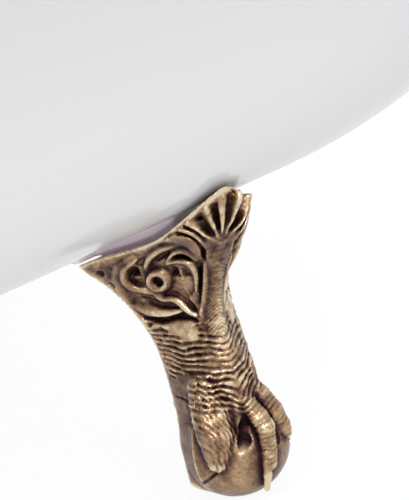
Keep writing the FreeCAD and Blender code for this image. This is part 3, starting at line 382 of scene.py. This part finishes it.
def read_chart(chart, back, height):
    """What the chart holds for each place of the foot, blended between its steps."""
    i = np.clip(back / STEP, 0, chart.shape[0] - 1.01)
    j = np.clip(height / STEP, 0, chart.shape[1] - 1.01)
    i0, j0 = i.astype(int), j.astype(int)
    fi, fj = i - i0, j - j0
    return ((chart[i0, j0] * (1 - fi) + chart[i0 + 1, j0] * fi) * (1 - fj)
            + (chart[i0, j0 + 1] * (1 - fi) + chart[i0 + 1, j0 + 1] * fi) * fj)


def behind_the_metal(inside, z):
    """The foot's hollow, which is open space with metal in front of it, and four steps of metal round it."""
    behind = np.maximum.accumulate(inside, axis=1) & ~inside & (z > HOLLOW_FROM)
    for _ in range(4):
        grown = behind.copy()
        for axis in range(3):
            for way in (-1, 1):
                grown |= np.roll(behind, way, axis)
        behind = grown
    return behind


def half_relief(x, y, z, under_edge, behind):
    """How far the carving stands over the plain casting, on one side of its middle."""
    ridge = np.interp(z, RIDGE_HEIGHTS, RIDGE_FORWARD)
    back = np.hypot(x, np.minimum(y + ridge, 60.0)) + 0 * z
    height = z + 0 * back
    chart_height = CHART[1]
    skin = leg_skin()
    wing = scrollwork(*CHART) * smooth(chart_height, WING_FROM, WING_FROM + 8)
    chart = np.where(chart_height > WING_FROM, wing + skin * (1 - smooth(np.abs(wing), 0.3, 1.0)), skin)
    relief = read_chart(chart, back, height)
    relief += shell_flutes(back, height, under_edge)
    # a plain bead runs along the upper edge
    at_edge = (under_edge > -4) & (under_edge < 8) & (z > 130)
    bead = relief * smooth(under_edge, 0.8, 2.8) + 0.5 * (1 - smooth(under_edge, 1.0, 2.2))
    relief = np.where(at_edge, bead, relief) * np.where(behind, 0.0, 1.0)
    # the ball stays smooth, and its toes lie over it
    ball = np.sqrt(x ** 2 + y ** 2 + (z - BALL_HEIGHT) ** 2) - BALL_RADIUS
    return relief * np.clip(smooth(ball, 0.2, 2.2) + smooth(z, 56, 60), 0, 1)


def outer_shell(points, tris, quads):
    """The largest connected shell: the carving leaves a few specks of air inside the metal, and they go."""
    pairs = np.concatenate([faces[:, [k, k - 1]] for faces in (tris, quads) for k in range(faces.shape[1])])
    label, last = np.arange(len(points)), None
    while last is None or (label != last).any():
        last = label
        lower = np.minimum(label[pairs[:, 0]], label[pairs[:, 1]])
        label = label.copy()
        np.minimum.at(label, pairs[:, 0], lower)
        np.minimum.at(label, pairs[:, 1], lower)
        label = label[label]
    kept = label == np.bincount(label).argmax()
    number = np.cumsum(kept) - 1
    return points[kept], number[tris[kept[tris[:, 0]]]], number[quads[kept[quads[:, 0]]]]


def spread(values, radius):
    """The grid's values, each averaged over a cube that reaches this far every way."""
    n = int(round(radius / GRAIN))
    for axis in range(3):
        margin = [(n + 1, n) if k == axis else (0, 0) for k in range(3)]
        total = np.cumsum(np.pad(values, margin, mode="edge"), axis=axis)
        size = values.shape[axis]
        far = np.take(total, np.arange(2 * n + 1, size + 2 * n + 1), axis=axis)
        near = np.take(total, np.arange(0, size), axis=axis)
        values = (far - near) / (2 * n + 1)
    return values


def read_grid(values, points, origin):
    """The grid's values at places on the foot's surface, blended between its steps."""
    place = np.clip(points / GRAIN - origin, 0, np.array(values.shape) - 1.01)
    i = place.astype(int)
    f = place - i
    total = 0
    for dx in (0, 1):
        for dy in (0, 1):
            for dz in (0, 1):
                w = ((f[:, 0] if dx else 1 - f[:, 0]) * (f[:, 1] if dy else 1 - f[:, 1])
                     * (f[:, 2] if dz else 1 - f[:, 2]))
                total = total + w * values[i[:, 0] + dx, i[:, 1] + dy, i[:, 2] + dz]
    return total


def patina(points, whole, origin):
    """From -1 on edges that a cloth rubs bright to 1 in hollows that keep the dark: it follows how much metal
    surrounds each place, near and further off. Painted highlights lighten the broad toe, which is also worn,
    and the leg under the wing."""
    solidity = np.clip(0.5 - whole / GRAIN, 0, 1)
    fine = spread(spread(solidity, 1.0), 1.0)
    coarse = spread(spread(solidity, 3.4), 3.4)
    hollow = (read_grid(fine, points, origin) - 0.5) * 5.0 + (read_grid(coarse, points, origin) - 0.45) * 2.2
    x, y, z = points.T
    from_ball = np.sqrt((points ** 2).sum(axis=1) - 2 * BALL_HEIGHT * z + BALL_HEIGHT ** 2) - BALL_RADIUS
    on_ball = (1 - smooth(np.abs(from_ball), 0.3, 0.9)) * (y < 8)
    # the broad toe is rubbed bright by wear, and lightened further as a painted highlight
    toe_wear_and_highlight = smooth(x, -20, -12) * smooth(-x, 4, 9) * smooth(-y, 18, 22) * smooth(60 - z, 0, 14)
    # painted highlight: the leg just under the wing, 12 to 34 mm back from the front ridge, is painted
    # lighter
    back = np.hypot(x, y + np.interp(z, RIDGE_HEIGHTS, RIDGE_FORWARD))
    painted_highlight_under_wing = smooth(back, 12, 17) * (1 - smooth(back, 24, 34))
    painted_highlight_under_wing = painted_highlight_under_wing * smooth(z, 84, 90) * (1 - smooth(z, 95, 99))
    on_leg = smooth(z, 40, 66)
    up_high = smooth(z, 96, 116)
    hollow *= 1 - 0.36 * up_high
    hollow += 0.2 * up_high - 0.08 * on_ball - 0.3 * toe_wear_and_highlight - 0.4 * painted_highlight_under_wing - 0.16 * on_leg
    return np.clip(hollow, -1, 1)


def carve_foot(plain):
    """Carves the plain casting, given as its merged mesh, and gives the new mesh with its patina."""
    points, triangles = plain
    grid = openvdb.FloatGrid.createLevelSetFromPolygons(
        (points / GRAIN).astype(np.float32), triangles=triangles.astype(np.uint32),
        halfWidth=REACH / GRAIN + 1)
    counts = [int(HALF_WIDTH / GRAIN) + 1, int((BACK - FRONT) / GRAIN), int((TOP + UNDER_FLOOR) / GRAIN)]
    first = (0, int(FRONT / GRAIN), int(-UNDER_FLOOR / GRAIN))
    solid = np.zeros(counts, np.float32)
    grid.copyToArray(solid, ijk=first)
    solid *= GRAIN
    x, y, z = np.meshgrid(*[(np.arange(n) + s) * GRAIN for n, s in zip(counts, first)],
                          indexing="ij", sparse=True)
    behind = behind_the_metal(solid < 0, z)
    under_edge = np.interp(-y, EDGE_FORWARD, EDGE_HEIGHTS) - z + 0 * x
    relief = half_relief(x, y, z, under_edge, behind)
    bare, relief, under_edge, behind = [
        np.concatenate([half[:0:-1], half], axis=0) for half in (solid, relief, under_edge, behind)]
    relief = relief.astype(np.float32)
    x = np.concatenate([-x[:0:-1], x], axis=0)
    lobe = smooth(x, 0, 12) * (1 - smooth(x, 17, 32)) * smooth(z, 116, 150) * (1 - 0.75 * smooth(z, 166, 180))
    relief += (RIGHT_LOBE * lobe * smooth(under_edge, 0, 5) * ~behind).astype(np.float32)
    low = slice(0, int((ANKLE + UNDER_FLOOR) / GRAIN))
    bare[:, :, low] = lower_foot(bare[:, :, low], x, y, z[:, :, low])
    # nothing goes under the floor, and the grid holds distances up to a limit
    whole = np.maximum(bare - relief, -z + 0 * bare)
    limit = REACH * 0.9
    whole = np.clip(whole, -limit, limit).astype(np.float32)
    out = openvdb.FloatGrid(limit)
    origin = (-(counts[0] - 1), first[1], first[2])
    out.copyFromArray(np.ascontiguousarray(whole), ijk=origin)
    out.transform = openvdb.createLinearTransform(GRAIN)
    made, tris, quads = outer_shell(*out.convertToPolygons(isovalue=0.0, adaptivity=0.02))
    return made, tris, quads, patina(made, whole, np.array(origin))


def plain_casting(name, x, y):
    """A copy of a packed foot's mesh, merged, about the floor under its own ball."""
    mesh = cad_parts[name].data
    points = np.empty(len(mesh.vertices) * 3, np.float32)
    mesh.vertices.foreach_get("co", points)
    points = points.reshape(-1, 3) * 1000 - (x, y, 0)
    mesh.calc_loop_triangles()
    triangles = np.empty(len(mesh.loop_triangles) * 3, np.int32)
    mesh.loop_triangles.foreach_get("vertices", triangles)
    keys, merged = np.unique(np.round(points, 3), axis=0, return_inverse=True)
    triangles = merged.reshape(-1)[triangles].reshape(-1, 3)
    good = ((triangles[:, 0] != triangles[:, 1]) & (triangles[:, 1] != triangles[:, 2])
            & (triangles[:, 0] != triangles[:, 2]))
    return keys, triangles[good]


def antique_brass():
    """Cast brass, darkened by chemicals and rubbed back: nearly black brown in the hollows, pale gold on the
    edges, blotched as the fluid ran, with a fine cast grain that breaks up its shine."""
    material, tree, output = blank_material("antiqued_cast_brass")
    place = add(tree, "ShaderNodeTexCoord").outputs["Object"]
    hollow = add(tree, "ShaderNodeAttribute", attribute_name="hollow").outputs["Fac"]
    # blotches of about 9 mm, and a grain of 1.6 mm, which is coarser than the real one so that it shows
    blotch = add(tree, "ShaderNodeTexNoise", {
        "Vector": place, "Scale": 1 / 0.009, "Detail": 4.0, "Roughness": 0.62})
    speck = add(tree, "ShaderNodeTexNoise", {
        "Vector": place, "Scale": 1 / 0.0016, "Detail": 3.0, "Roughness": 0.6})
    shift = add(tree, "ShaderNodeMath", {0: blotch.outputs["Fac"], 1: 1.2, 2: -0.6}, operation="MULTIPLY_ADD")
    fleck = add(tree, "ShaderNodeMath", {0: speck.outputs["Fac"], 1: 0.7, 2: -0.35}, operation="MULTIPLY_ADD")
    # the hollow attribute holds the patina, and also painted highlights on the broad toe and the leg under
    # the wing
    patina_and_highlight = add(tree, "ShaderNodeMath", {0: hollow, 1: shift.outputs[0]})
    patina_and_highlight = add(tree, "ShaderNodeMath", {0: patina_and_highlight.outputs[0], 1: fleck.outputs[0]})
    tone = add(tree, "ShaderNodeMapRange", {"Value": patina_and_highlight.outputs[0], "From Min": -0.9, "From Max": 0.85})
    ramp = add(tree, "ShaderNodeValToRGB", {"Fac": tone.outputs[0]})
    stops = ramp.color_ramp.elements
    stops[0].position, stops[0].color = 0.0, linear("#dccaac")
    stops[1].position, stops[1].color = 1.0, linear("#241519")
    for at, hexcode in ((0.22, "#ae9170"), (0.4, "#8b6e56"), (0.56, "#634b3f"), (0.76, "#3d2a30")):
        stop = stops.new(at)
        stop.color = linear(hexcode)
    # the rubbed edges are polished, and the dark in the hollows is dull
    gloss = add(tree, "ShaderNodeMapRange", {"Value": tone.outputs[0], "To Min": 0.17, "To Max": 0.5})
    grain = add(tree, "ShaderNodeBump", {"Height": speck.outputs["Fac"], "Strength": 0.6, "Distance": 0.0004})
    shader = add(tree, "ShaderNodeBsdfPrincipled", {
        "Base Color": ramp.outputs["Color"], "Metallic": 1.0, "Roughness": gloss.outputs[0],
        "Normal": grain.outputs["Normal"]})
    tree.links.new(shader.outputs[0], output.inputs["Surface"])
    return material


# One pattern makes all four castings: those on the far side are turned half round.
foot_brass = antique_brass()
points, tris, quads, hollow = carve_foot(plain_casting("foot_head_front", FOOT_X["head"], -FOOT_Y))
faces = [tuple(face) for face in tris.tolist() + quads.tolist()]
for end in ("head", "drain"):
    for side, way in (("front", 1.0), ("back", -1.0)):
        placed = points * (way, way, 1) + (FOOT_X[end], -FOOT_Y * way, 0)
        mesh = bpy.data.meshes.new("carved_foot_" + end + "_" + side)
        mesh.from_pydata((placed / 1000).tolist(), [], faces)
        mesh.attributes.new("hollow", "FLOAT", "POINT").data.foreach_set("value", hollow.astype(np.float32))
        mesh.polygons.foreach_set("use_smooth", [True] * len(mesh.polygons))
        mesh.materials.append(foot_brass)
        foot = bpy.data.objects.new("carved_foot_" + end + "_" + side, mesh)
        bpy.context.scene.collection.objects.link(foot)
        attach(foot, "bath")
        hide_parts("foot_" + end + "_" + side)


# ---- Bath: one iron casting, ground smooth, coated and fired white. The four pads that carry the feet stand
# just under its floor, and are painted a matt pale lilac grey.
UNDERSIDE = 0.1562        # metres above the floor: what is lower is painted a matt pale lilac grey


def enamel():
    """Vitreous enamel, sprayed and fired: glassy, and slightly uneven, like the peel of an orange. Painted
    shade makes the white darker up the wall."""
    material, tree, output = blank_material("vitreous_enamel")
    place = add(tree, "ShaderNodeTexCoord").outputs["Object"]
    # the peel's slow ripple of about 30 mm bends what it reflects, and the tone drifts over about 0.4 m
    peel = add(tree, "ShaderNodeTexNoise", {"Vector": place, "Scale": 1 / 0.03, "Detail": 1.0})
    wide = add(tree, "ShaderNodeTexNoise", {"Vector": place, "Scale": 1 / 0.4, "Detail": 1.0})
    height = add(tree, "ShaderNodeSeparateXYZ", {0: place}).outputs["Z"]
    # painted shade: from 0.17 m to 0.36 m up the wall the white is painted darker, towards #bbbbbb
    rise = add(tree, "ShaderNodeMapRange", {"Value": height, "From Min": 0.17, "From Max": 0.36})
    low = add(tree, "ShaderNodeMix", {
        "Factor": wide.outputs["Fac"], 6: linear("#cdcdce"), 7: linear("#d2d2d2")}, data_type="RGBA")
    tint = add(tree, "ShaderNodeMix", {
        "Factor": rise.outputs[0], 6: low.outputs[2], 7: linear("#bbbbbb")}, data_type="RGBA")
    under = add(tree, "ShaderNodeMapRange", {
        "Value": height, "From Min": UNDERSIDE, "From Max": UNDERSIDE - 0.0006})
    gloss = add(tree, "ShaderNodeMapRange", {"Value": wide.outputs["Fac"], "To Min": 0.1, "To Max": 0.2})
    ripple = add(tree, "ShaderNodeBump", {
        "Height": peel.outputs["Fac"], "Strength": 0.25, "Distance": 0.0006})
    shader = add(tree, "ShaderNodeBsdfPrincipled", {
        "Base Color": tint.outputs[2], "Roughness": gloss.outputs[0], "IOR": 1.5,
        "Normal": ripple.outputs["Normal"]})
    # below UNDERSIDE: a matt pale lilac grey in place of the glossy white
    lilac_tone = add(tree, "ShaderNodeMix", {
        "Factor": peel.outputs["Fac"], 6: linear("#eddce6"), 7: linear("#e3d2dc")}, data_type="RGBA")
    lilac_underside = add(tree, "ShaderNodeBsdfDiffuse", {"Color": lilac_tone.outputs[2]})
    coat = add(tree, "ShaderNodeMixShader", {0: under.outputs[0], 1: shader.outputs[0], 2: lilac_underside.outputs[0]})
    tree.links.new(coat.outputs[0], output.inputs["Surface"])
    return material


def refinish(name, material):
    """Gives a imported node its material."""
    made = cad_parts[name]
    for slot in made.material_slots:
        slot.material = material


refinish("tub_shell", enamel())


# ---- Fittings: satin brass for what shows in the bath, dull drawn and cast brass for the pipes outside it,
# zinc on the steel studs with their washers and nuts, and moulded black rubber for the seals.
def turned_metal(name, hexcode, dark, rough, grain):
    """A turned or drawn metal with faint 20 mm stains, duller where it is stained, and a fine grain of the
    given size in metres, which is coarser than the real one so that it shows."""
    material, tree, output = blank_material(name)
    place = add(tree, "ShaderNodeTexCoord").outputs["Object"]
    stain = add(tree, "ShaderNodeTexNoise", {"Vector": place, "Scale": 1 / 0.02, "Detail": 4.0})
    fine = add(tree, "ShaderNodeTexNoise", {"Vector": place, "Scale": 1 / grain, "Detail": 2.0})
    tint = add(tree, "ShaderNodeMix", {
        "Factor": stain.outputs["Fac"], 6: linear(dark), 7: linear(hexcode)}, data_type="RGBA")
    gloss = add(tree, "ShaderNodeMapRange", {
        "Value": stain.outputs["Fac"], "To Min": rough + 0.1, "To Max": rough})
    bump = add(tree, "ShaderNodeBump", {"Height": fine.outputs["Fac"], "Strength": 0.2, "Distance": 0.0002})
    shader = add(tree, "ShaderNodeBsdfPrincipled", {
        "Base Color": tint.outputs[2], "Metallic": 1.0, "Roughness": gloss.outputs[0],
        "Normal": bump.outputs["Normal"]})
    tree.links.new(shader.outputs[0], output.inputs["Surface"])
    return material


def rubber():
    """Moulded rubber: dull and nearly black, with a little dust in patches of about 4 mm."""
    material, tree, output = blank_material("black_rubber")
    place = add(tree, "ShaderNodeTexCoord").outputs["Object"]
    dust = add(tree, "ShaderNodeTexNoise", {"Vector": place, "Scale": 1 / 0.004, "Detail": 3.0})
    tint = add(tree, "ShaderNodeMix", {
        "Factor": dust.outputs["Fac"], 6: linear("#1c1c1d"), 7: linear("#2b2b2c")}, data_type="RGBA")
    shader = add(tree, "ShaderNodeBsdfPrincipled", {"Base Color": tint.outputs[2], "Roughness": 0.7})
    tree.links.new(shader.outputs[0], output.inputs["Surface"])
    return material


finishes = (
    (turned_metal("satin_brass", "#d6bb86", "#b59767", rough=0.24, grain=0.0012),
     ("drain_flange", "stopper_post", "stopper_sleeve", "stopper_cap", "stopper_knob", "overflow_plate",
      "overflow_screw")),
    (turned_metal("dull_brass", "#bba077", "#8d7555", rough=0.38, grain=0.0015),
     ("drain_shoe", "overflow_elbow", "overflow_pipe", "waste_tee", "tailpiece", "slip_nuts")),
    (turned_metal("zinc_plated_steel", "#c4c6c8", "#9fa1a3", rough=0.35, grain=0.001),
     ("foot_studs", "foot_washers", "foot_nuts")),
    (rubber(),
     ("flange_seal", "drain_gasket", "stopper_seal", "overflow_gasket", "slip_washers")))
for finish, names in finishes:
    for name in names:
        refinish(name, finish)
